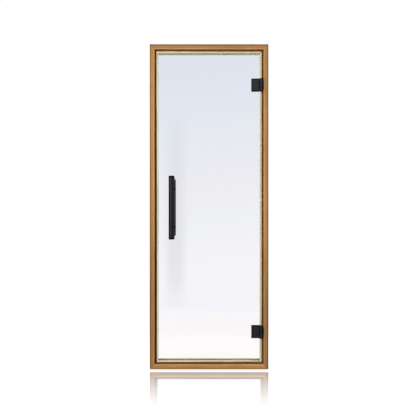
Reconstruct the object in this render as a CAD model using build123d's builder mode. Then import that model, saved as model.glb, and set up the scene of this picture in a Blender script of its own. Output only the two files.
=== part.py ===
from build123d import *
import os

os.makedirs("parts", exist_ok=True)

# A framed glass sauna door, seen from outside: X to the right, Y into the sauna, Z up.
# The origin lies under the middle of the sill. All sizes are in millimetres.

# Wooden frame
frame_width = 690.0
frame_height = 1890.0
frame_depth = 92.0
face_width = 30.0
rebate_depth = 22.0
stop_width = 16.0
front_arris = 3.0
stop_arris = 1.0

# Holes through the jambs for the screws that hold the frame in the wall
fixing_hole_radius = 3.5
fixing_from_back = 35.0
fixing_end_distance = 300.0
fixing_count = 3

# Soft seal in a groove of the stop
seal_width = 7.2
seal_from_edge = 0.2
seal_gap = 1.2
seal_stem_width = 3.0
seal_stem_depth = 5.0
seal_stem_clearance = 0.1

# Glass leaf
glass_thickness = 8.0
glass_edge_gap = 5.0
glass_setback = 6.0
glass_corner_radius = 4.0
glass_edge_chamfer = 0.8

# Hinges: two, each with three knuckles on one pin
hinge_height = 74.5
hinge_from_top = 237.0
hinge_from_bottom = 218.0
axis_from_rebate = 11.0
axis_before_glass = 12.0
knuckle_radius = 10.0
middle_knuckle_height = 46.0
knuckle_gap = 1.0
washer_thickness = 0.8
washer_inset = 0.5
pin_radius = 4.0
pin_clearance = 0.05
pin_end_recess = 0.6
clamp_width = 44.0
clamp_to_knuckle = 4.0
outer_clamp_thickness = 8.0
inner_clamp_thickness = 6.0
inner_clamp_reach = 6.0
clamp_bevel = 2.0
pad_thickness = 1.0
pad_inset = 1.0
clamp_hole_end_distance = 15.25
clamp_hole_radius = 3.1
clamp_glass_hole_radius = 8.0

# Frame leaf of each hinge, let into the rebate wall
leaf_height = 72.0
leaf_thickness = 2.5
leaf_front_setback = 2.0
leaf_back_setback = 3.0
leaf_corner_radius = 2.0
leaf_pocket_clearance = 0.2
leaf_hole_end_distance = 10.0
leaf_hole_count = 3
leaf_hole_radius = 2.1
leaf_web_reach = 8.0

# Handle: a half-oval grip bar on a rail, the same inside and outside
handle_from_glass_edge = 92.0
handle_centre_z = 940.0
grip_width = 30.0
grip_length = 368.0
grip_thickness = 10.0
grip_crown = 6.5
grip_shoulder_radius = 1.5
grip_end_chamfer = 1.0
handle_projection = 50.0
rail_length = 327.0
rail_foot_width = 22.0
rail_foot_overhang = 9.5
rail_foot_thickness = 4.0
rail_web_thickness = 4.0
rail_head_width = 20.0
rail_head_thickness = 3.0
rail_inner_radius = 2.0
rail_hole_end_distance = 52.0
rail_hole_radius = 3.1
handle_glass_hole_radius = 6.0

# Places worked out from the sizes
half_width = frame_width / 2
front_y = -frame_depth / 2
back_y = frame_depth / 2
stop_y = front_y + rebate_depth
rebate_x = half_width - face_width
opening_x = rebate_x - stop_width
member_width = face_width + stop_width

glass_front_y = front_y + glass_setback
glass_back_y = glass_front_y + glass_thickness
glass_width = 2 * (rebate_x - glass_edge_gap)
glass_height = frame_height - 2 * (face_width + glass_edge_gap)

seal_centre = member_width - seal_from_edge - seal_width / 2
seal_height = stop_y - glass_back_y - seal_gap

axis_x = rebate_x - axis_from_rebate
axis_y = glass_front_y - axis_before_glass
hinge_heights = {"hinge_bottom": hinge_from_bottom, "hinge_top": frame_height - hinge_from_top}
end_knuckle_height = (hinge_height - middle_knuckle_height) / 2 - knuckle_gap
clamp_edge_x = axis_x - knuckle_radius - clamp_to_knuckle
clamp_centre_x = clamp_edge_x - clamp_width / 2
outer_clamp_back_y = glass_front_y - pad_thickness
outer_clamp_front_y = outer_clamp_back_y - outer_clamp_thickness
inner_clamp_front_y = glass_back_y + pad_thickness
inner_clamp_back_y = inner_clamp_front_y + inner_clamp_thickness

leaf_front_y = front_y + leaf_front_setback
leaf_back_y = stop_y - leaf_back_setback
leaf_centre_y = (leaf_front_y + leaf_back_y) / 2
leaf_hole_spacing = (leaf_height - 2 * leaf_hole_end_distance) / (leaf_hole_count - 1)

handle_centre_x = -glass_width / 2 + handle_from_glass_edge
rail_edge_x = handle_centre_x + grip_width / 2 + rail_foot_overhang
rail_foot_x = rail_edge_x - rail_foot_width / 2
rail_web_x = rail_edge_x - rail_foot_width + rail_web_thickness / 2
bolt_x = rail_edge_x - (rail_foot_width - rail_web_thickness) / 2


def save(piece, name):
    """Label a finished piece and write its file."""
    piece.part.label = name
    export_step(piece.part, f"parts/{name}.step")


# Frame members and seals share the four mitred runs round the door: each starts in a corner,
# looks inward from the outer edge, and follows the edge to the next corner.
runs = {
    "latch_jamb": (Vector(-half_width, 0, 0), Vector(1, 0, 0), Vector(0, 0, 1), frame_height),
    "head": (Vector(-half_width, 0, frame_height), Vector(0, 0, -1), Vector(1, 0, 0), frame_width),
    "hinge_jamb": (
        Vector(half_width, 0, frame_height), Vector(-1, 0, 0), Vector(0, 0, -1), frame_height,
    ),
    "sill": (Vector(half_width, 0, 0), Vector(0, 0, 1), Vector(-1, 0, 0), frame_width),
}


def mitred_run(section, run):
    """A section led along one side of the frame, cut at 45 degrees in both corners."""
    corner, inward, along, length = run
    with BuildPart() as bar:
        with BuildSketch(Plane(origin=corner, x_dir=inward, z_dir=along)):
            add(section)
        extrude(amount=length)
        split(bisect_by=Plane(origin=corner, z_dir=inward - along), keep=Keep.BOTTOM)
        split(bisect_by=Plane(origin=corner + along * length, z_dir=inward + along), keep=Keep.BOTTOM)
    return bar


# Section of the frame, X from the outer edge inward: face, rebate for the leaf, stop with groove
with BuildSketch() as frame_section:
    with BuildLine():
        Polyline(
            (0, front_y),
            (face_width, front_y),
            (face_width, stop_y),
            (member_width, stop_y),
            (member_width, back_y),
            (0, back_y),
            close=True,
        )
    make_face()
    fillet(frame_section.vertices().group_by(Axis.Y)[0], radius=front_arris)
    fillet(frame_section.vertices().group_by(Axis.X)[-1], radius=stop_arris)
    with Locations((seal_centre, stop_y + seal_stem_depth / 2)):
        Rectangle(
            seal_stem_width + 2 * seal_stem_clearance,
            seal_stem_depth + 2 * seal_stem_clearance,
            mode=Mode.SUBTRACT,
        )

# Section of the seal: a stem pressed into the groove and a soft rounded bead on the stop
bead_side = seal_centre - seal_width / 2
bead_far_side = seal_centre + seal_width / 2
bead_shoulder_y = stop_y - seal_height + seal_width / 2
stem_side = seal_centre - seal_stem_width / 2
stem_far_side = seal_centre + seal_stem_width / 2
stem_end_y = stop_y + seal_stem_depth
with BuildSketch() as seal_section:
    with BuildLine():
        ThreePointArc(
            (bead_side, bead_shoulder_y),
            (seal_centre, stop_y - seal_height),
            (bead_far_side, bead_shoulder_y),
        )
        Polyline(
            (bead_far_side, bead_shoulder_y),
            (bead_far_side, stop_y),
            (stem_far_side, stop_y),
            (stem_far_side, stem_end_y),
            (stem_side, stem_end_y),
            (stem_side, stop_y),
            (bead_side, stop_y),
            (bead_side, bead_shoulder_y),
        )
    make_face()

# Head, sill and seals
save(mitred_run(frame_section.sketch, runs["head"]), "head")
save(mitred_run(frame_section.sketch, runs["sill"]), "sill")
for side, run in runs.items():
    save(mitred_run(seal_section.sketch, run), f"seal_{side}")

# Jambs: fixing holes from the reveal outward, and on the hinge side a let-in bed for each hinge
fixing_y = back_y - fixing_from_back
fixing_step = (frame_height - 2 * fixing_end_distance) / (fixing_count - 1)
fixing_heights = [fixing_end_distance + i * fixing_step for i in range(fixing_count)]

for side, reveal in (("latch_jamb", -1), ("hinge_jamb", 1)):
    rough = mitred_run(frame_section.sketch, runs[side])
    with BuildPart() as jamb:
        add(rough.part)
        with BuildSketch(Plane.YZ.offset(reveal * half_width)):
            with Locations(*[(fixing_y, height) for height in fixing_heights]):
                Circle(fixing_hole_radius)
        extrude(amount=-reveal * member_width, mode=Mode.SUBTRACT)
        if side == "hinge_jamb":
            for height in hinge_heights.values():
                with Locations((rebate_x + leaf_thickness / 2, leaf_centre_y, height)):
                    Box(
                        leaf_thickness,
                        leaf_back_y - leaf_front_y + 2 * leaf_pocket_clearance,
                        leaf_height + 2 * leaf_pocket_clearance,
                        mode=Mode.SUBTRACT,
                    )
                with Locations((rebate_x, (front_y + leaf_front_y) / 2, height)):
                    Box(
                        2 * leaf_thickness,
                        2 * leaf_front_setback,
                        middle_knuckle_height + 2 * leaf_pocket_clearance,
                        mode=Mode.SUBTRACT,
                    )
    save(jamb, side)

# Glass leaf: one toughened sheet with ground edges and holes for hinge and handle screws
clamp_hole_offset = hinge_height / 2 - clamp_hole_end_distance
rail_hole_offset = rail_length / 2 - rail_hole_end_distance
clamp_holes = {
    name: [(clamp_centre_x, height + side * clamp_hole_offset) for side in (-1, 1)]
    for name, height in hinge_heights.items()
}
rail_holes = [(bolt_x, handle_centre_z + side * rail_hole_offset) for side in (-1, 1)]
with BuildPart() as glass:
    with BuildSketch(Plane.XZ.offset(-glass_front_y)):
        with Locations((0, frame_height / 2)):
            RectangleRounded(glass_width, glass_height, glass_corner_radius)
    extrude(amount=-glass_thickness)
    faces_across = glass.faces().sort_by(Axis.Y)
    chamfer(faces_across[0].edges() + faces_across[-1].edges(), length=glass_edge_chamfer)
    with BuildSketch(Plane.XZ.offset(-glass_front_y)):
        for holes in clamp_holes.values():
            with Locations(*holes):
                Circle(clamp_glass_hole_radius)
        with Locations(*rail_holes):
            Circle(handle_glass_hole_radius)
    extrude(amount=-glass_thickness, mode=Mode.SUBTRACT)
save(glass, "glass")


def pad(centre, size, near_y, away, holes, hole_radius):
    """A soft pad between glass and metal: near_y is its glass side, away points off the glass."""
    with BuildPart() as sheet:
        with BuildSketch(Plane.XZ.offset(-near_y)):
            with Locations(centre):
                Rectangle(*size)
            with Locations(*holes):
                Circle(hole_radius, mode=Mode.SUBTRACT)
        extrude(amount=-away * pad_thickness)
    return sheet


# Hinges
for name, height in hinge_heights.items():
    knuckle_places = (
        height - hinge_height / 2,
        height + hinge_height / 2 - end_knuckle_height,
    )

    # Outer clamp plate with its two end knuckles, one forging
    with BuildPart() as outer_clamp:
        with BuildSketch(Plane.XZ.offset(-outer_clamp_back_y)):
            with Locations((clamp_centre_x, height)):
                Rectangle(clamp_width, hinge_height)
        extrude(amount=outer_clamp_thickness)
        front_face = outer_clamp.faces().sort_by(Axis.Y)[0]
        chamfer(front_face.edges(), length=clamp_bevel)
        for base in knuckle_places:
            with BuildSketch(Plane.XY.offset(base)):
                with BuildLine():
                    CenterArc((axis_x, axis_y), knuckle_radius, 0, 360)
                    Polyline(
                        (clamp_edge_x - clamp_to_knuckle, outer_clamp_front_y + clamp_bevel),
                        (clamp_edge_x - clamp_to_knuckle, outer_clamp_back_y),
                        (clamp_edge_x, outer_clamp_back_y),
                    )
                make_hull()
            extrude(amount=end_knuckle_height)
        with Locations((axis_x, axis_y, height)):
            Cylinder(pin_radius + pin_clearance, 2 * hinge_height, mode=Mode.SUBTRACT)
    save(outer_clamp, f"{name}_outer_clamp")

    # Inner clamp plate, drilled for the screws that draw both plates together. It reaches further
    # towards the axis, so no light falls through beside the knuckles.
    with BuildPart() as inner_clamp:
        with BuildSketch(Plane.XZ.offset(-inner_clamp_front_y)):
            with Locations((clamp_centre_x + inner_clamp_reach / 2, height)):
                Rectangle(clamp_width + inner_clamp_reach, hinge_height)
        extrude(amount=-inner_clamp_thickness)
        chamfer(inner_clamp.faces().sort_by(Axis.Y)[-1].edges(), length=clamp_bevel)
        with BuildSketch(Plane.XZ.offset(-inner_clamp_front_y)):
            with Locations(*clamp_holes[name]):
                Circle(clamp_hole_radius)
        extrude(amount=-inner_clamp_thickness, mode=Mode.SUBTRACT)
    save(inner_clamp, f"{name}_inner_clamp")

    # Soft pads on both sides of the glass
    pad_size = (clamp_width - 2 * pad_inset, hinge_height - 2 * pad_inset)
    for side, near_y, away in (("outer", glass_front_y, -1), ("inner", glass_back_y, 1)):
        clamp_pad = pad(
            (clamp_centre_x, height), pad_size, near_y, away, clamp_holes[name], clamp_hole_radius
        )
        save(clamp_pad, f"{name}_{side}_pad")

    # Frame leaf with the middle knuckle, let into the wood and screwed
    with BuildPart() as frame_leaf:
        with BuildSketch(Plane.XY.offset(height - middle_knuckle_height / 2)):
            with BuildLine():
                CenterArc((axis_x, axis_y), knuckle_radius, 0, 360)
                Polyline(
                    (rebate_x + leaf_thickness, leaf_front_y - leaf_web_reach),
                    (rebate_x + leaf_thickness, leaf_front_y),
                    (rebate_x, leaf_front_y),
                )
            make_hull()
        extrude(amount=middle_knuckle_height)
        with BuildSketch(Plane.YZ.offset(rebate_x)):
            with Locations((leaf_centre_y, height)):
                RectangleRounded(leaf_back_y - leaf_front_y, leaf_height, leaf_corner_radius)
        extrude(amount=leaf_thickness)
        with Locations((axis_x, axis_y, height)):
            Cylinder(pin_radius + pin_clearance, hinge_height, mode=Mode.SUBTRACT)
        with BuildSketch(Plane.YZ.offset(rebate_x)):
            with Locations((leaf_centre_y, height)):
                with GridLocations(0, leaf_hole_spacing, 1, leaf_hole_count):
                    Circle(leaf_hole_radius)
        extrude(amount=leaf_thickness, mode=Mode.SUBTRACT)
    save(frame_leaf, f"{name}_frame_leaf")

    # Pin through all three knuckles
    with BuildPart() as pin:
        with BuildSketch(Plane.XY.offset(height - hinge_height / 2 + pin_end_recess)):
            with Locations((axis_x, axis_y)):
                Circle(pin_radius)
        extrude(amount=hinge_height - 2 * pin_end_recess)
    save(pin, f"{name}_pin")

    # Bearing washer that carries the upper end knuckle on the middle one
    washer_base = height + middle_knuckle_height / 2 + knuckle_gap - washer_thickness
    with BuildPart() as washer:
        with BuildSketch(Plane.XY.offset(washer_base)):
            with Locations((axis_x, axis_y)):
                Circle(knuckle_radius - washer_inset)
                Circle(pin_radius + pin_clearance, mode=Mode.SUBTRACT)
        extrude(amount=washer_thickness)
    save(washer, f"{name}_washer")


# Handle: the same grip and rail outside and inside, away is the direction off the glass
for side, near_y, away in (("outer", glass_front_y, -1), ("inner", glass_back_y, 1)):
    foot_near_y = near_y + away * pad_thickness
    foot_far_y = foot_near_y + away * rail_foot_thickness
    grip_far_y = near_y + away * handle_projection
    grip_near_y = grip_far_y - away * grip_thickness

    # Grip bar: flat where it lies on the rail, crowned for the hand, its ends chamfered
    grip_left = handle_centre_x - grip_width / 2
    grip_right = handle_centre_x + grip_width / 2
    shoulder_y = grip_far_y - away * grip_crown
    with BuildPart() as grip:
        with BuildSketch(Plane.XY.offset(handle_centre_z - grip_length / 2)) as grip_section:
            with BuildLine():
                ThreePointArc(
                    (grip_left, shoulder_y), (handle_centre_x, grip_far_y), (grip_right, shoulder_y)
                )
                Polyline(
                    (grip_right, shoulder_y),
                    (grip_right, grip_near_y),
                    (grip_left, grip_near_y),
                    (grip_left, shoulder_y),
                )
            make_face()
            shoulders = grip_section.vertices().group_by(Axis.Y)[-1 if away > 0 else 0]
            fillet(shoulders, radius=grip_shoulder_radius)
        extrude(amount=grip_length)
        ends = grip.faces().filter_by(Axis.Z)
        chamfer(ends.edges(), length=grip_end_chamfer)
    save(grip, f"handle_{side}_grip")

    # Rail: foot on the glass, web, and a head that carries the grip
    web_left = rail_web_x - rail_web_thickness / 2
    web_right = rail_web_x + rail_web_thickness / 2
    head_far_y = grip_near_y
    head_near_y = head_far_y - away * rail_head_thickness
    head_left = handle_centre_x - rail_head_width / 2
    head_right = handle_centre_x + rail_head_width / 2
    with BuildPart() as rail:
        with BuildSketch(Plane.XY.offset(handle_centre_z - rail_length / 2)) as rail_section:
            with BuildLine():
                Polyline(
                    (web_left, foot_near_y),
                    (rail_edge_x, foot_near_y),
                    (rail_edge_x, foot_far_y),
                    (web_right, foot_far_y),
                    (web_right, head_near_y),
                    (head_right, head_near_y),
                    (head_right, head_far_y),
                    (head_left, head_far_y),
                    (head_left, head_near_y),
                    (web_left, head_near_y),
                    close=True,
                )
            make_face()
        extrude(amount=rail_length)
        inner_corners = (
            rail.edges()
            .filter_by(Axis.Z)
            .filter_by_position(Axis.X, web_right - 0.01, web_right + 0.01)
        )
        fillet(inner_corners, radius=rail_inner_radius)
        with BuildSketch(Plane.XZ.offset(-foot_near_y)):
            with Locations(*rail_holes):
                Circle(rail_hole_radius)
        extrude(amount=-away * rail_foot_thickness, mode=Mode.SUBTRACT)
    save(rail, f"handle_{side}_rail")

    # Soft pad under the rail's foot
    foot_pad = pad(
        (rail_foot_x, handle_centre_z),
        (rail_foot_width - 2 * pad_inset, rail_length - 2 * pad_inset),
        near_y,
        away,
        rail_holes,
        rail_hole_radius,
    )
    save(foot_pad, f"handle_{side}_pad")
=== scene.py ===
import math

import bmesh
import bpy
from mathutils import Matrix, Vector


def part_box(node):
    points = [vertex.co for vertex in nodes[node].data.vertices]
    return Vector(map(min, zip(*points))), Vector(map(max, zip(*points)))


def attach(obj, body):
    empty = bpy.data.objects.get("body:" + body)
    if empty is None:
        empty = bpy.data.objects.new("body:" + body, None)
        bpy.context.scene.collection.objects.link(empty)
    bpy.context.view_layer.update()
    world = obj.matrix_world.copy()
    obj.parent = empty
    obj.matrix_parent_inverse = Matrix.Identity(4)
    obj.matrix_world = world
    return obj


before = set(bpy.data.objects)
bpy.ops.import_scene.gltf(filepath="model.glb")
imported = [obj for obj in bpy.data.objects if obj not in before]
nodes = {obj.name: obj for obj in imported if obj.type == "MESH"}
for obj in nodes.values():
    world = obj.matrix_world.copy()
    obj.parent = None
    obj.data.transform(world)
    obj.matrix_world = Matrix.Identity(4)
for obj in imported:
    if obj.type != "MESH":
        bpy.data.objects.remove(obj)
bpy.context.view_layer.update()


# Wooden frame: two jambs, head and sill planed from one section and glued in mitred corners.
# It is straight-grained softwood, oiled to a warm brown outside and in the rebate. Inside the
# sauna it stays untreated and pale, because oil would smell in the heat.
class Field:
    """A value that changes over a surface. Arithmetic on it adds Math nodes."""

    def __init__(self, nodes_of, socket):
        self.of = nodes_of
        self.socket = socket

    def math(self, operation, *values):
        return self.of.add("ShaderNodeMath", {"operation": operation}, dict(enumerate(values)))

    def __add__(self, other):
        return self.math("ADD", self, other)

    def __sub__(self, other):
        return self.math("SUBTRACT", self, other)

    def __mul__(self, other):
        return self.math("MULTIPLY", self, other)

    def __truediv__(self, other):
        return self.math("DIVIDE", self, other)

    def __pow__(self, power):
        return self.math("POWER", self, power)

    def __radd__(self, other):
        return self.math("ADD", other, self)

    def __rsub__(self, other):
        return self.math("SUBTRACT", other, self)

    def __rmul__(self, other):
        return self.math("MULTIPLY", other, self)

    def sine(self):
        return self.math("SINE", self)

    def size(self):
        """The value without its sign."""
        return self.math("ABSOLUTE", self)

    def least(self, other):
        return self.math("MINIMUM", self, other)

    def most(self, other):
        return self.math("MAXIMUM", self, other)

    def ramp(self, low, high):
        """0 below low, 1 above high, smooth between. low may be the larger one."""
        sockets = {"Value": self, "From Min": low, "From Max": high}
        return self.of.add("ShaderNodeMapRange", {"interpolation_type": "SMOOTHSTEP"}, sockets)


class Nodes:
    """The nodes of one material or of the world."""

    def __init__(self, tree):
        self.tree = tree
        tree.nodes.clear()

    def add(self, kind, settings=None, sockets=None, out=0):
        """One node: its settings first, then the values or links of its sockets."""
        node = self.tree.nodes.new(kind)
        for name, value in (settings or {}).items():
            if name == "stops":
                while len(node.color_ramp.elements) < len(value):
                    node.color_ramp.elements.new(1.0)
                for element, (place, colour) in zip(node.color_ramp.elements, value):
                    element.position = place
                    element.color = colour
            else:
                setattr(node, name, value)
        for key, value in (sockets or {}).items():
            if isinstance(value, Field):
                self.tree.links.new(value.socket, node.inputs[key])
            else:
                node.inputs[key].default_value = value
        return Field(self, node.outputs[out]) if node.outputs else None

    def blend(self, share, first, second, mode="MIX"):
        """Two colours mixed: the second one by its share."""
        settings = {"data_type": "RGBA", "blend_type": mode, "clamp_factor": True}
        return self.add("ShaderNodeMix", settings, {0: share, 6: first, 7: second}, out=2)

    def tinted(self, share, colour, tint):
        """A colour multiplied by a tint, as far as share says."""
        return self.blend(share, colour, tint, "MULTIPLY")

    def place(self):
        """X, Y and Z on the piece, in metres, as the piece stands in the closed door."""
        point = self.add("ShaderNodeTexCoord", out="Object")
        return [self.add("ShaderNodeSeparateXYZ", None, {0: point}, out=i) for i in range(3)]

    def point(self, x, y, z):
        return self.add("ShaderNodeCombineXYZ", None, {0: x, 1: y, 2: z})

    def noise(self, where, scale=1.0, detail=3.0, rough=0.5):
        sockets = {"Vector": where, "Scale": scale, "Detail": detail, "Roughness": rough}
        return self.add("ShaderNodeTexNoise", None, sockets)

    def speckle(self, cells, detail=2.0):
        """Noise that is alike in all directions, with so many cells a metre."""
        where = self.add("ShaderNodeTexCoord", out="Object")
        return self.noise(where, scale=cells, detail=detail)

    def relief(self, height, strength, depth):
        """Fine bumps of a height field, so many metres deep."""
        sockets = {"Strength": strength, "Distance": depth, "Height": height}
        return self.add("ShaderNodeBump", None, sockets)


def surface(name, build):
    """A material whose nodes the function build adds; build returns the closing shader."""
    material = bpy.data.materials.new(name)
    material.use_nodes = True
    tree = Nodes(material.node_tree)
    tree.add("ShaderNodeOutputMaterial", None, {"Surface": build(tree)})
    return material


def rgb(red, green, blue):
    """A colour as read from the screen, 0 to 255, turned into the renderer's linear values."""
    parts = [c / 255 for c in (red, green, blue)]
    return tuple(c / 12.92 if c < 0.04045 else ((c + 0.055) / 1.055) ** 2.4 for c in parts) + (1.0,)


frame_low, frame_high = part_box("sill")[0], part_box("head")[1]
rebate_depth = 0.022
stop_edge = 0.046
stop_front = frame_low.y + rebate_depth
back_face = frame_high.y

oiled_light = rgb(206, 158, 99)
oiled_mid = rgb(190, 141, 84)
oiled_dark = rgb(150, 103, 52)
raw_light = rgb(240, 232, 212)
raw_dark = rgb(222, 212, 186)

# The members are oiled by hand and differ: their tone (painted shade on the head, painted light
# on the sill), where the painted shade of the rebate starts, how deep it sets in and where the oil
# ends, and the tints of the painted shade in the rebate and on the outer arris.
# Widths run from the frame's outer edge.
members = {
    "latch_jamb": {
        "seed": 0.0, "tone": 0.93, "dark_from": 0.0272, "sets_in": 0.001, "oil_end": stop_edge,
        "rebate": (0.36, 0.20, 0.07, 1.0), "arris": (0.66, 0.48, 0.20, 1.0),
    },
    "hinge_jamb": {
        "seed": 3.7, "tone": 0.98, "dark_from": 0.0280, "sets_in": 0.001, "oil_end": 0.0358,
        "rebate": (0.50, 0.31, 0.12, 1.0), "arris": (0.66, 0.48, 0.20, 1.0),
    },
    "head": {
        "seed": 7.1, "tone": 0.80, "dark_from": 0.0304, "sets_in": 0.021, "oil_end": stop_edge,
        "rebate": (0.58, 0.33, 0.12, 1.0), "arris": (0.68, 0.48, 0.18, 1.0),
    },
    "sill": {
        "seed": 11.3, "tone": 1.10, "dark_from": 0.0292, "sets_in": 0.001, "oil_end": stop_edge,
        "rebate": (0.70, 0.48, 0.24, 1.0), "arris": (0.84, 0.70, 0.42, 1.0),
    },
}

# Cut of the boards: where the heart of the log lay, its rings in radians a metre, and what
# rings, streaks and clouds each add to the figure
heart_behind, heart_aside, heart_step = 0.21, 0.11, 0.01
ring_rate, ring_wander = 2300.0, 0.035
ring_share, streak_share, cloud_share = 0.30, 0.45, 0.25
raw_contrast, raw_least = 0.8, 0.1
pore_share = 0.35

# Brush line of the oil, and the latch jamb's upper part, where the oil stops short
brush_far, brush_near = 0.0006, 0.0003
latch_upper = (1.505, 1.535)
latch_upper_oil_end = (0.0357, 0.0360)
# Higher up the latch jamb, the painted shade of the rebate starts nearer the outer edge
latch_creep, latch_creep_width, latch_upper_width = (0.9, 1.4), 0.0006, 0.0005

# Painted shade of the rebate: how far it runs before and past its start, and where it begins and
# ends in the frame's depth
dark_before, dark_past = 0.0006, 0.0002
dark_front = frame_low.y - 0.001
dark_floor = (stop_front + 0.0006, stop_front + 0.0012)

# Painted light and shade: greyer feet as painted shade lower down, a painted highlight on the face
# beside the rebate, and painted shade on the outer arris
foot_shade_fade, foot_shade_share, foot_shade_tint = (0.85, 0.10), 0.22, rgb(128, 112, 92)
inner_highlight_width, inner_highlight_tint = (0.0205, 0.0235), (1.26, 1.36, 1.70, 1.0)
arris_shade_width, arris_shade_depth = (0.0062, 0.0088), (frame_low.y + 0.0030, frame_low.y + 0.0060)

# Untreated wood: painted shade towards the seal on the hinge side, darker on the back, and
# painted shade in patches on the reveals of head and sill. That shade starts at the first depth,
# is full at the second and has the third as its share.
hinge_reveal_shade_depth, hinge_reveal_shade_share = (stop_front + 0.034, stop_front + 0.012), 0.9
hinge_reveal_shade_tint = rgb(150, 138, 112)
back_tint = rgb(210, 200, 180)
reveal_shade = {"head": (stop_front - 0.020, 0.030, 0.62), "sill": (stop_front - 0.010, 0.003, 0.94)}
reveal_shade_end, reveal_shade_loss = (0.018, 0.043), 0.7
reveal_shade_least, reveal_shade_patches = 0.89, 0.09
reveal_shade_tint = rgb(114, 105, 88)

# Glue line of the mitres, and the sheen: untreated wood and the streaks are rougher than oil
mitre_line, mitre_share = 0.0005, 0.6
mitre_brown = rgb(70, 42, 20)
oiled_roughness, untreated_rougher, streaks_rougher = 0.46, 0.22, 0.12
wood_gloss = 0.14


def grain(tree, across, depth, along, seed):
    """Growth rings, fine streaks, short pores and slow clouds, all drawn out along the wood."""

    def drawn_out(cells_across, cells_along, detail, rough=0.5):
        where = tree.point(across * cells_across, depth * cells_across, along * cells_along + seed)
        return tree.noise(where, detail=detail, rough=rough)

    slow = tree.point(across * 3.0, depth * 3.0, along * 0.55 + seed)
    wander = tree.noise(slow, scale=4.0, detail=4.0)
    from_heart = across + (heart_aside + seed * heart_step)
    behind = depth - heart_behind
    ring_radius = (from_heart * from_heart + behind * behind) ** 0.5
    rings = ((ring_radius + wander * ring_wander) * ring_rate).sine() * 0.5 + 0.5
    streaks = drawn_out(cells_across=420.0, cells_along=7.0, detail=4.0, rough=0.6)
    pores = drawn_out(cells_across=1900.0, cells_along=60.0, detail=2.0).ramp(0.60, 0.74)
    cloud = drawn_out(cells_across=14.0, cells_along=2.2, detail=3.0)
    figure = rings * ring_share + streaks.ramp(0.32, 0.68) * streak_share
    figure = figure + cloud.ramp(0.3, 0.7) * cloud_share
    return figure, streaks, pores, cloud


def timber(tree, side):
    """Straight-grained wood for one frame member, oiled outside and untreated inside."""
    x, y, z = tree.place()
    member = members[side]
    upright = side.endswith("jamb")
    if upright:
        along, across = z, x
        from_edge = x - frame_low.x if side == "latch_jamb" else frame_high.x - x
        to_end = (z - frame_low.z).least(frame_high.z - z)
    else:
        along, across = x, z
        from_edge = z - frame_low.z if side == "sill" else frame_high.z - z
        to_end = (x - frame_low.x).least(frame_high.x - x)
    figure, streaks, pores, cloud = grain(tree, across, y, along, member["seed"])

    stops = [(0.0, oiled_dark), (0.5, oiled_mid), (1.0, oiled_light)]
    oiled = tree.add("ShaderNodeValToRGB", {"stops": stops}, {0: figure})
    # Tone of the member: on the head painted shade, on the sill painted light
    tone = member["tone"]
    oiled = tree.tinted(1.0, oiled, (tone, tone, tone, 1.0))
    raw = tree.blend(figure * raw_contrast + raw_least, raw_dark, raw_light)
    at_back = y.ramp(back_face - brush_far, back_face - brush_near)
    if upright:
        # Painted shade: the jambs greyer and darker towards their feet
        oiled = tree.tinted(z.ramp(*foot_shade_fade) * foot_shade_share, oiled, foot_shade_tint)
    if side == "hinge_jamb":
        # Painted shade on the hinge jamb's reveal, towards the seal
        raw = tree.tinted(y.ramp(*hinge_reveal_shade_depth) * hinge_reveal_shade_share, raw, hinge_reveal_shade_tint)
    raw = tree.tinted(at_back, raw, back_tint)
    if not upright:
        # Painted shade in patches on the reveals of head and sill
        first, full, share = reveal_shade[side]
        painted_reveal_shade = y.ramp(first, full) * (1.0 - y.ramp(*reveal_shade_end) * reveal_shade_loss) * share
        painted_reveal_shade = painted_reveal_shade * (reveal_shade_least + cloud.ramp(0.35, 0.65) * reveal_shade_patches)
        raw = tree.tinted(painted_reveal_shade, raw, reveal_shade_tint)

    # Where the oil ends, and where painted shade lies dark in the rebate
    oil_end, dark_from = member["oil_end"], member["dark_from"]
    untreated = from_edge.ramp(oil_end - brush_far, oil_end - brush_near)
    if side == "latch_jamb":
        upper = z.ramp(*latch_upper)
        untreated = untreated.most(from_edge.ramp(*latch_upper_oil_end) * upper)
        dark_from = dark_from - z.ramp(*latch_creep) * latch_creep_width - upper * latch_upper_width
    untreated = untreated.most(at_back)
    treated = 1.0 - untreated
    rebate_shade = from_edge.ramp(dark_from - dark_before, dark_from + dark_past)
    rebate_shade = rebate_shade * y.ramp(dark_front, frame_low.y + member["sets_in"])
    rebate_shade = rebate_shade * (1.0 - y.ramp(*dark_floor))
    # Painted highlight on the face beside the rebate
    inner_highlight = from_edge.ramp(*inner_highlight_width) * (1.0 - rebate_shade) * treated
    # Painted shade along the outer arris, in the member's tint
    arris = (1.0 - from_edge.ramp(*arris_shade_width)) * treated * (1.0 - y.ramp(*arris_shade_depth))
    mitre = 1.0 - (from_edge - to_end).size().ramp(mitre_line * 0.4, mitre_line)

    wood = tree.blend(untreated, oiled, raw)
    wood = tree.tinted(rebate_shade * treated, wood, member["rebate"])
    wood = tree.tinted(inner_highlight, wood, inner_highlight_tint)
    wood = tree.tinted(arris, wood, member["arris"])
    wood = tree.blend(pores * pore_share, wood, oiled_dark)
    wood = tree.blend(mitre * mitre_share, wood, mitre_brown)
    height = figure * 0.5 - pores * 0.6 - mitre * 0.8
    sockets = {
        "Base Color": wood,
        "Roughness": oiled_roughness + untreated * untreated_rougher + streaks * streaks_rougher,
        "Specular IOR Level": wood_gloss,
        "Normal": tree.relief(height, strength=0.35, depth=0.0004),
    }
    return tree.add("ShaderNodeBsdfPrincipled", None, sockets)


for side in members:
    finish = surface(f"{side}_wood", lambda tree, side=side: timber(tree, side))
    nodes[side].material_slots[0].material = finish


# Fixing caps: turned plugs of the same untreated wood, pressed into the six screw holes of the
# jambs. Each has a short stem in the hole and a low domed head against the reveal.
facets = 36
cap_stem, cap_stem_length = 0.0034, 0.0090
cap_radius, cap_height = 0.0068, 0.0018
cap_neck = 0.0002
cap_from_back = 0.035
cap_levels = {"low": 0.300, "middle": 0.945, "high": 1.590}
dome_steps = 8
cap_roughness, fibre_rougher, cap_gloss = 0.62, 0.12, 0.22


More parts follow.
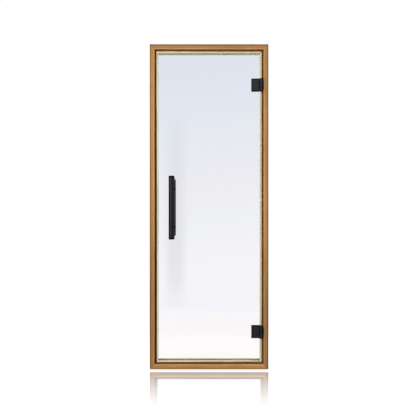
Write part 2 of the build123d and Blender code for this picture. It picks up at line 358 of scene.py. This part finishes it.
def turned(name, rings, seat, facing, body, finish):
    """A turned piece: rings of (radius, height, six-sided?) joined to one closed solid.
    Height 0 lies at seat, and the rings climb along facing."""
    sixth, half_sixth = math.pi / 3, math.pi / 6
    mesh = bmesh.new()
    loops = []
    for radius, height, six_sided in rings:
        loop = []
        for i in range(facets):
            turn = 2 * math.pi * i / facets
            reach = radius
            if six_sided:
                reach = radius * math.cos(half_sixth) / math.cos(turn % sixth - half_sixth)
            loop.append(mesh.verts.new((reach * math.cos(turn), reach * math.sin(turn), height)))
        loops.append(loop)
    for lower, upper in zip(loops, loops[1:]):
        for i in range(facets):
            j = (i + 1) % facets
            mesh.faces.new((lower[i], lower[j], upper[j], upper[i]))
    mesh.faces.new(reversed(loops[0]))
    mesh.faces.new(loops[-1])
    bmesh.ops.recalc_face_normals(mesh, faces=mesh.faces)
    data = bpy.data.meshes.new(name)
    mesh.to_mesh(data)
    mesh.free()
    swing = Vector((0, 0, 1)).rotation_difference(Vector(facing)).to_matrix().to_4x4()
    data.transform(Matrix.Translation(Vector(seat)) @ swing)
    data.materials.append(finish)
    piece = bpy.data.objects.new(name, data)
    bpy.context.scene.collection.objects.link(piece)
    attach(piece, body)


def cap_wood(tree):
    """Pale turned wood: its grain and fine fibres run upright across the cap."""
    x, y, z = tree.place()
    streaks = tree.noise(tree.point(x * 300.0, y * 1200.0, z * 90.0), detail=4.0, rough=0.6)
    fibre = tree.noise(tree.point(x * 300.0, y * 5000.0, z * 400.0), detail=2.0)
    sockets = {
        "Base Color": tree.blend(streaks.ramp(0.3, 0.7) * 0.8, raw_dark, raw_light),
        "Roughness": cap_roughness + fibre * fibre_rougher,
        "Specular IOR Level": cap_gloss,
        "Normal": tree.relief(streaks * 0.6 + fibre * 0.4, strength=0.3, depth=0.0002),
    }
    return tree.add("ShaderNodeBsdfPrincipled", None, sockets)


cap_rings = [
    (cap_stem * 0.85, -cap_stem_length, False),
    (cap_stem, -cap_stem_length * 0.9, False),
    (cap_stem, -cap_neck, False),
    (cap_radius * 0.97, 0.0, False),
]
for step in range(dome_steps):
    rise = step / (dome_steps - 1) * math.pi * 0.46
    cap_rings.append((cap_radius * math.cos(rise), cap_height * (0.25 + 0.75 * math.sin(rise)), False))
cap_finish = surface("cap_wood", cap_wood)
reveal = frame_high.x - stop_edge
for side, label in ((-1, "latch"), (1, "hinge")):
    for level, height in cap_levels.items():
        seat = (side * reveal, back_face - cap_from_back, height)
        turned(f"fixing_cap_{label}_{level}", cap_rings, seat, (-side, 0, 0), "frame",
               cap_finish)


# Seal: a pale silicone strip pressed into a groove of the stop, mitred in the corners. Its soft
# bead shows as a cream line all round, just behind the glass. Painted shade darkens its outer
# edge at head and sill and low on the latch side, and a little of its inner edge at the hinges.
seal_pale = rgb(246, 234, 196)
seal_worn = rgb(232, 216, 172)
seal_shade_colour = rgb(150, 104, 58)
seal_end_shade = (0.0008, 0.0024)
seal_end_shade_narrows, seal_end_shade_loss = (-0.28, 0.12), 0.0018
seal_sill_shade_heights, seal_sill_shade_gain = (0.90, 0.80), 0.0008
seal_latch_shade, seal_latch_shade_heights = (0.0018, 0.0044), (0.85, 1.50)
seal_hinge_shade_start, seal_hinge_shade_edge = 0.2992, 0.0006
seal_hinge_shade, seal_hinge_shade_share = (0.0022, 0.0008), 0.4
seal_shade_least, seal_shade_patches = 0.84, 0.12
seal_roughness, seal_dust_rougher, seal_gloss = 0.50, 0.15, 0.35


def silicone(tree):
    """Matt silicone with a little dust, and painted shade along some of its edges."""
    x, y, z = tree.place()
    dust = tree.speckle(60.0, 4.0)
    fine = tree.speckle(900.0)
    low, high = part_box("seal_latch_jamb")[0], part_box("seal_hinge_jamb")[1]
    # Painted shade along the seal's edges, patchy with the dust
    to_end = (z - low.z).least(high.z - z) - x.ramp(*seal_end_shade_narrows) * seal_end_shade_loss
    to_end = to_end - z.ramp(*seal_sill_shade_heights) * seal_sill_shade_gain
    ends = 1.0 - to_end.ramp(*seal_end_shade)
    latch = (1.0 - (x - low.x).ramp(*seal_latch_shade)) * (1.0 - z.ramp(*seal_latch_shade_heights))
    hinge = x.ramp(seal_hinge_shade_start - seal_hinge_shade_edge, seal_hinge_shade_start)
    hinge = hinge * (x - seal_hinge_shade_start).ramp(*seal_hinge_shade) * seal_hinge_shade_share
    seal_shaded = ends.most(latch).most(hinge) * (seal_shade_least + dust * seal_shade_patches)
    pale = tree.blend(dust.ramp(0.35, 0.75) * 0.5, seal_pale, seal_worn)
    sockets = {
        "Base Color": tree.blend(seal_shaded, pale, seal_shade_colour),
        "Roughness": seal_roughness + dust * seal_dust_rougher,
        "Specular IOR Level": seal_gloss,
        "Normal": tree.relief(fine, strength=0.2, depth=0.0002),
    }
    return tree.add("ShaderNodeBsdfPrincipled", None, sockets)


seal_finish = surface("seal_silicone", silicone)
for side in members:
    nodes[f"seal_{side}"].material_slots[0].material = seal_finish


# Hinges: steel clamps with a fine black powder coat. Two plates grip the glass, the outer one
# carries the end knuckles, and the leaf let into the rebate carries the middle one.
hinge_colour = rgb(33, 33, 36)
hinge_dust = rgb(49, 49, 53)
hinge_roughness, hinge_gloss = 0.42, 0.25
dust_share, dust_rougher = 0.35, 0.12
# Painted light and shade: the top hinge lighter, the bottom one darker
hinge_painted_light = {"hinge_bottom": 0.96, "hinge_top": 1.10}
# Painted shade in deep black along the hinge front's bevels and the knuckle's far side
hinge_shade_border, hinge_shade_share = (0.0035, 0.0075), 0.80
knuckle_side_scale = 0.8
painted_shade_black = (0.002, 0.002, 0.002, 1.0)
steel_dark, steel_light = rgb(118, 118, 120), rgb(150, 150, 152)
steel_roughness, marks_rougher = 0.32, 0.12
rubber_dark, rubber_light = rgb(24, 24, 25), rgb(38, 38, 39)
rubber_roughness = 0.72
clamp_hole_end = 0.01525
leaf_hole_end = 0.0100
leaf_setback = 0.002
leaf_thickness = 0.0025


def powder_coat(tree, colour, dusty, roughness, gloss):
    """Matt black coat with a fine orange-peel grain and a trace of dust."""
    peel = tree.speckle(1500.0)
    haze = tree.speckle(35.0, 4.0)
    sockets = {
        "Base Color": tree.blend(haze.ramp(0.4, 0.8) * dust_share, colour, dusty),
        "Roughness": roughness + haze * dust_rougher,
        "Specular IOR Level": gloss,
        "Normal": tree.relief(peel, strength=0.25, depth=0.0001),
    }
    return tree.add("ShaderNodeBsdfPrincipled", None, sockets)


def shaded_black(tree, coat, share):
    """Painted shade: the coat turned to a deep matt black where share is 1."""
    black = tree.add("ShaderNodeBsdfDiffuse", None, {"Color": painted_shade_black})
    return tree.add("ShaderNodeMixShader", None, {0: share, 1: coat, 2: black})


def front_coat_shaded(tree, hinge):
    """The same coat on the hinge's front, blacker along its bevels and the knuckle's far side,
    where deep black is mixed in as painted shade."""
    x, y, z = tree.place()
    low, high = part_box(f"{hinge}_outer_clamp")
    border = (x - low.x).least((z - low.z).least(high.z - z))
    border = border.least((high.x - x) * knuckle_side_scale)
    # Painted light and shade: the top hinge lighter, the bottom one darker
    tone = hinge_painted_light[hinge]
    plate, dusty = [[c * tone for c in colour[:3]] + [1.0] for colour in (hinge_colour, hinge_dust)]
    coat = powder_coat(tree, plate, dusty, hinge_roughness, hinge_gloss)
    return shaded_black(tree, coat, (1.0 - border.ramp(*hinge_shade_border)) * hinge_shade_share)


def turned_steel(tree):
    """Bare steel of a pin with fine turning marks."""
    x, y, z = tree.place()
    marks = tree.noise(tree.point(x * 200.0, y * 200.0, z * 4000.0), detail=2.0)
    sockets = {
        "Base Color": tree.blend(marks, steel_dark, steel_light),
        "Metallic": 1.0,
        "Roughness": steel_roughness + marks * marks_rougher,
    }
    return tree.add("ShaderNodeBsdfPrincipled", None, sockets)


def soft_black(tree):
    """Matt black rubber or nylon."""
    speckle = tree.speckle(700.0)
    sockets = {
        "Base Color": tree.blend(speckle, rubber_dark, rubber_light),
        "Roughness": rubber_roughness,
        "Normal": tree.relief(speckle, strength=0.2, depth=0.0002),
    }
    return tree.add("ShaderNodeBsdfPrincipled", None, sockets)


def button_head(radius, height, socket, shank_radius, shank_length):
    """Rings of a low domed head with a six-sided socket, on its shank."""
    return [
        (shank_radius * 0.6, -shank_length, False),
        (shank_radius, -shank_length + shank_radius * 0.6, False),
        (shank_radius, 0.0, False),
        (radius * 0.94, 0.0, False),
        (radius, height * 0.15, False),
        (radius * 0.96, height * 0.45, False),
        (radius * 0.84, height * 0.78, False),
        (radius * 0.66, height, False),
        (socket * 1.06, height, True),
        (socket, height * 0.93, True),
        (socket, height * 0.25, True),
    ]


hinge_coat = surface(
    "hinge_powder_coat",
    lambda tree: powder_coat(tree, hinge_colour, hinge_dust, hinge_roughness, hinge_gloss),
)
pin_steel = surface("hinge_pin_steel", turned_steel)
black_rubber = surface("pad_rubber", soft_black)
clamp_screw = button_head(
    radius=0.0052, height=0.0028, socket=0.0022, shank_radius=0.0029, shank_length=0.0158
)
leaf_screw = button_head(
    radius=0.0040, height=0.0013, socket=0.0015, shank_radius=0.0020, shank_length=0.0240
)

for hinge in ("hinge_bottom", "hinge_top"):
    nodes[f"{hinge}_inner_clamp"].material_slots[0].material = hinge_coat
    front = surface(f"{hinge}_front_coat_shaded", lambda tree, hinge=hinge: front_coat_shaded(tree, hinge))
    for part in ("outer_clamp", "frame_leaf"):
        nodes[f"{hinge}_{part}"].material_slots[0].material = front
    nodes[f"{hinge}_pin"].material_slots[0].material = pin_steel
    for part in ("outer_pad", "inner_pad", "washer"):
        nodes[f"{hinge}_{part}"].material_slots[0].material = black_rubber

    low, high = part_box(f"{hinge}_inner_clamp")
    pad_low, pad_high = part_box(f"{hinge}_inner_pad")
    for label, height in (("low", low.z + clamp_hole_end), ("high", high.z - clamp_hole_end)):
        seat = ((pad_low.x + pad_high.x) / 2, high.y, height)
        turned(f"{hinge}_clamp_screw_{label}", clamp_screw, seat, (0, 1, 0), "leaf",
               hinge_coat)

    low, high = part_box(f"{hinge}_frame_leaf")
    leaf_middle_y = (frame_low.y + leaf_setback + high.y) / 2
    middle = (low.z + high.z) / 2
    step = (high.z - low.z) / 2 - leaf_hole_end
    for label, height in (("low", middle - step), ("middle", middle), ("high", middle + step)):
        seat = (high.x - leaf_thickness, leaf_middle_y, height)
        turned(f"{hinge}_leaf_screw_{label}", leaf_screw, seat, (-1, 0, 0), "frame",
               hinge_coat)


# Leaf: one sheet of clear toughened glass with ground edges, drilled for hinges and handle.
# It is clear all over, and only its thickness shows a faint green at the edges.
glass_tint = rgb(252, 254, 253)
edge_tint = rgb(74, 96, 84)
ground_rim = (0.0006, 0.0010)
ground_roughness, smear_rougher = 0.35, 0.01
glass_bending = 1.5
shadow_let_through, ground_shadow = 0.98, 0.3


def clear_glass(tree):
    """Clear glass: its rim is ground and green, and its shadow lets nearly all light through."""
    x, y, z = tree.place()
    low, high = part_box("glass")
    rim = (x - low.x).least(high.x - x).least((z - low.z).least(high.z - z))
    ground = 1.0 - rim.ramp(*ground_rim)
    smear = tree.noise(tree.point(x * 5.0, y * 5.0, z * 3.0), detail=3.0)
    in_shadow = tree.add("ShaderNodeLightPath", out="Is Shadow Ray")
    sockets = {
        "Base Color": tree.blend(ground, glass_tint, edge_tint),
        "Roughness": ground * ground_roughness + smear.ramp(0.55, 0.9) * smear_rougher,
        "IOR": glass_bending,
        "Transmission Weight": 1.0,
        "Alpha": 1.0 - in_shadow * (1.0 - ground * ground_shadow) * shadow_let_through,
    }
    return tree.add("ShaderNodeBsdfPrincipled", None, sockets)


nodes["glass"].material_slots[0].material = surface("clear_glass", clear_glass)


# Handle: outside and inside the same half-oval grip bar on a folded rail, black powder coated.
# Two bolts a side hold the rails to the glass, with thin rubber between metal and glass.
grip_colour = rgb(44, 44, 46)
# Painted shade on the grip's flank and ends, and a painted highlight along the middle of its front
grip_dust = rgb(56, 56, 59)
grip_flank_shade = rgb(5, 5, 6)
grip_shade_border, grip_shade_share = (0.0050, 0.0085), 0.85
grip_end_scale = 0.9
crown_highlight_width, crown_highlight_least = (0.004, 0.018), 0.25
grip_roughness, grip_gloss = 0.36, 0.12
# The rail has the grip's coat, painted lighter: painted light on its foot
rail_colour_and_light = rgb(80, 80, 84)
rail_dust_and_light = rgb(96, 96, 100)
rail_roughness, rail_gloss = 0.42, 0.4
rail_hole_end = 0.0520
rail_foot_thickness = 0.004
rail_pad_inset = 0.001
foot_free_width = 0.018


def grip_coat(tree):
    """Satin black coat with a painted highlight along the middle of its front, and painted shade,
    blackest on the rounded flank and the ends.
    """
    x, y, z = tree.place()
    low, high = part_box("handle_outer_grip")
    border = (x - low.x).least((z - low.z).least(high.z - z) * grip_end_scale)
    inside_border = border.ramp(*grip_shade_border)
    crown = crown_highlight_least + (high.x - x).ramp(*crown_highlight_width) * (1.0 - crown_highlight_least)
    crown = inside_border * crown
    clean = tree.blend(crown, grip_flank_shade, grip_colour)
    dusty = tree.blend(crown, grip_flank_shade, grip_dust)
    coat = powder_coat(tree, clean, dusty, grip_roughness, grip_gloss)
    return shaded_black(tree, coat, (1.0 - inside_border) * grip_shade_share)


handle_coat = surface("handle_grip_coat", grip_coat)
rail_coat = surface(
    "handle_rail_coat",
    lambda tree: powder_coat(tree, rail_colour_and_light, rail_dust_and_light, rail_roughness, rail_gloss),
)
handle_bolt = button_head(
    radius=0.0060, height=0.0030, socket=0.0021, shank_radius=0.0030, shank_length=0.0085
)

for side, facing in (("outer", -1), ("inner", 1)):
    nodes[f"handle_{side}_grip"].material_slots[0].material = handle_coat
    nodes[f"handle_{side}_rail"].material_slots[0].material = rail_coat
    nodes[f"handle_{side}_pad"].material_slots[0].material = black_rubber
    low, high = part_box(f"handle_{side}_rail")
    pad_low, pad_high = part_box(f"handle_{side}_pad")
    foot_y = (pad_high.y if facing > 0 else pad_low.y) + facing * rail_foot_thickness
    bolt_x = pad_high.x + rail_pad_inset - foot_free_width / 2
    for label, height in (("low", low.z + rail_hole_end), ("high", high.z - rail_hole_end)):
        seat = (bolt_x, foot_y, height)
        turned(f"handle_{side}_bolt_{label}", handle_bolt, seat, (0, facing, 0), "leaf",
               handle_coat)


# Floor: a round sheet of pale paper, a little below the sill so that a line of light parts the
# door from its mirror image. It is polished in front of the door, and the polish fades away to
# the front and to the sides.
floor_drop = 0.0087
floor_radius = 2.6
floor_facets = 96
paper = 0.30
paper_reach = (0.7, 1.5)
polish_front = (0.079, 0.089)
polish_full, polish_fade, polish_side_fade = 0.820, 0.88, 2.2
polish_roughness = 0.02
glow_seen, glow_behind_glass = 0.87, 0.785
far_behind_glass, far_mirrored = 1.068, 0.12
tint_near, tint_far, tint_reach = rgb(254, 248, 250), rgb(249, 248, 253), (1.95, 2.60)
tint_outside, outside_reach = (1.06, 1.045, 1.055, 1.0), (-0.30, -0.05)
white = (1.0, 1.0, 1.0, 1.0)

floor_data = bpy.data.meshes.new("floor")
floor_mesh = bmesh.new()
bmesh.ops.create_circle(floor_mesh, cap_ends=True, segments=floor_facets, radius=floor_radius)
floor_mesh.to_mesh(floor_data)
floor_mesh.free()
floor = bpy.data.objects.new("floor", floor_data)
floor.location = (0, 0, frame_low.z - floor_drop)
bpy.context.scene.collection.objects.link(floor)


def line_of_sight(tree):
    """Whether a ray looks straight from the camera, straight through the glass, or off a gloss."""
    eye = tree.add("ShaderNodeLightPath", out="Is Camera Ray")
    through = tree.add("ShaderNodeLightPath", out="Is Transmission Ray")
    gloss = tree.add("ShaderNodeLightPath", out="Is Glossy Ray")
    mirrored = tree.add("ShaderNodeLightPath", out="Glossy Depth").least(1.0)
    glazed = through * (1.0 - mirrored)
    return eye, glazed, through.most(gloss) * mirrored


def studio_floor(tree):
    """Matt paper with a glow that keeps it white to the eye, under a polish near the door."""
    x, y, z = tree.place()
    eye, glazed, mirrored = line_of_sight(tree)
    behind = tree.blend(y.ramp(*tint_reach), tint_near, tint_far)
    seen = tree.blend(y.ramp(*outside_reach), tint_outside, behind)
    tint = tree.blend(glazed, white, seen)

    def glow(strength, colour=white):
        return tree.add("ShaderNodeEmission", None, {"Color": colour, "Strength": strength})

    def choose(factor, first, second):
        return tree.add("ShaderNodeMixShader", None, {0: factor, 1: first, 2: second})

    matt = tree.add("ShaderNodeBsdfDiffuse", None, {"Color": (paper, paper, paper, 1.0)})
    near_glow = choose(eye, glow(0.0), glow(glow_seen))
    near_glow = choose(glazed, near_glow, glow(glow_behind_glass, tint))
    near = tree.add("ShaderNodeAddShader", None, {0: matt, 1: near_glow})
    far = choose(mirrored, glow(0.0), glow(far_mirrored))
    far = choose(glazed, choose(eye, far, glow(1.0)), glow(far_behind_glass, tint))
    reach = (x * x + y * y) ** 0.5
    ground = choose(reach.ramp(*paper_reach), near, far)
    mirror_sockets = {"Color": white, "Roughness": polish_roughness}
    mirror = tree.add("ShaderNodeBsdfGlossy", None, mirror_sockets)
    beside = (x.size() - frame_high.x).most(0.0) * polish_side_fade
    fade = (polish_full - (beside * beside + y * y) ** 0.5 * polish_fade).most(0.0)
    return choose(fade * (y * -1.0).ramp(*polish_front), ground, mirror)


floor.data.materials.append(surface("studio_floor", studio_floor))


# Camera: a long lens at about half the door's height, square to the door and a little to the
# left of its middle.
camera_distance = 4.20
camera_aside = -0.0063
camera_height = 0.9376
view_width = 2.4182

camera_data = bpy.data.cameras.new("camera")
camera_data.angle = 2 * math.atan(view_width / 2 / camera_distance)
camera_data.clip_end = 100.0
camera = bpy.data.objects.new("camera", camera_data)
camera.location = (camera_aside, frame_low.y - camera_distance, camera_height)
camera.rotation_euler = (math.pi / 2, 0, 0)
bpy.context.scene.collection.objects.link(camera)
bpy.context.scene.camera = camera


# Lamps: softboxes, three in front of the door with more light from the left, and two inside
# that light the reveals and the back. Only the farthest one shows in the gloss of black parts.
lamp_white = (1.0, 0.99, 0.97)
front_aim, front_size = (0.0, 1.35), (0.75, 1.4)
inside_aim, inside_size, inside_power = (0.0, 0.0, 1.0), (1.2, 2.0), 105.0


def softbox(name, place, aim, size, power, shows_in_gloss=False):
    """A soft rectangular lamp that is never seen itself, neither bare nor through the glass."""
    data = bpy.data.lights.new(name, "AREA")
    data.shape = "RECTANGLE"
    data.size, data.size_y = size
    data.energy = power
    data.color = lamp_white
    light = bpy.data.objects.new(name, data)
    light.location = place
    way = Vector(aim) - Vector(place)
    light.rotation_euler = way.to_track_quat("-Z", "Y").to_euler()
    light.visible_camera = False
    light.visible_transmission = False
    light.visible_glossy = shows_in_gloss
    bpy.context.scene.collection.objects.link(light)


softbox("left_softbox", (-1.40, -1.55, 1.60), (-0.1, *front_aim), front_size, power=20.4)
softbox("right_softbox", (1.00, -1.75, 1.55), (0.1, *front_aim), front_size, power=9.4)
softbox("front_softbox", (-0.95, -3.90, 1.55), (-0.1, *front_aim), (0.5, 1.1), power=22.0,
        shows_in_gloss=True)
for label, aside in (("left", 2.6), ("right", -2.6)):
    softbox(f"inside_{label}_softbox", (aside, 2.7, 1.1), inside_aim, inside_size, inside_power)


# Surround: a plain white studio. Seen through the glass it turns faintly blue towards the top,
# with a tall soft shade behind the handle, and a dark card behind the camera keeps the glass
# free of haze. Climb is the slope of the view, 0 at the camera's height.
sky_stops = [
    (0.00, rgb(250, 248, 253)),
    (0.20, rgb(245, 244, 249)),
    (0.40, rgb(241, 239, 245)),
    (0.60, rgb(235, 237, 245)),
    (0.80, rgb(229, 233, 243)),
    (1.00, rgb(225, 230, 240)),
]
sky_low, sky_high = -0.08, 0.22
sky_tilt = 0.10
below_climb, below_front = (-0.145, -0.200), (0.0, 0.2)
below_tint = rgb(245, 239, 242)
shade_centre, shade_width = -0.0450, (0.003, 0.0205)
shade_upper, shade_upper_share = (0.140, 0.105), 0.45
shade_lower, shade_lower_share = (0.095, -0.045), 0.55
shade_foot = (-0.157, -0.074)
shade_depth, shade_grey = 0.135, rgb(60, 60, 66)
card_level, card_turn = 0.06, (-0.10, 0.0)
card_side, card_height = (0.30, 0.50), (0.236, 0.275)
room_level, room_gain, room_turn = 1.0, 0.10, (0.0, 0.3)
ambient = 0.36
glazed_gain = 0.055
hardly_any = 0.001

world = bpy.data.worlds.new("surround")
bpy.context.scene.world = world
world.use_nodes = True
sky = Nodes(world.node_tree)
direction = sky.add("ShaderNodeTexCoord", out="Generated")
dx, dy, dz = [sky.add("ShaderNodeSeparateXYZ", None, {0: direction}, out=i) for i in range(3)]
eye, glazed, mirrored = line_of_sight(sky)
climb = dz / ((dx * dx + dy * dy) ** 0.5).most(hardly_any) - dx * sky_tilt

share = (climb - sky_low) / (sky_high - sky_low)
colour = sky.add("ShaderNodeValToRGB", {"stops": sky_stops}, {0: share})
colour = sky.blend(climb.ramp(*below_climb) * dy.ramp(*below_front), colour, below_tint)
shade = 1.0 - (dx / dy.most(hardly_any) - shade_centre).size().ramp(*shade_width)
upper = climb.ramp(*shade_upper) * shade_upper_share
shade = shade * (upper + climb.ramp(*shade_lower) * shade_lower_share) * climb.ramp(*shade_foot)
colour = sky.blend(shade * shade_depth, colour, shade_grey)
colour = sky.blend(glazed, white, colour)

aside = (dx / (dy * -1.0).most(hardly_any)).size()
card = (1.0 - aside.ramp(*card_side)) * (1.0 - dy.ramp(*card_turn))
card = card * (1.0 - climb.size().ramp(*card_height))
mirrored_level = room_level + dy.ramp(*room_turn) * room_gain - card * (room_level - card_level)
strength = ambient + eye.most(glazed) * (1.0 - ambient) + mirrored * (mirrored_level - ambient)
strength = strength + glazed * glazed_gain
backdrop = sky.add("ShaderNodeBackground", None, {"Color": colour, "Strength": strength})
sky.add("ShaderNodeOutputWorld", None, {"Surface": backdrop})

bpy.context.scene.view_settings.view_transform = "Standard"
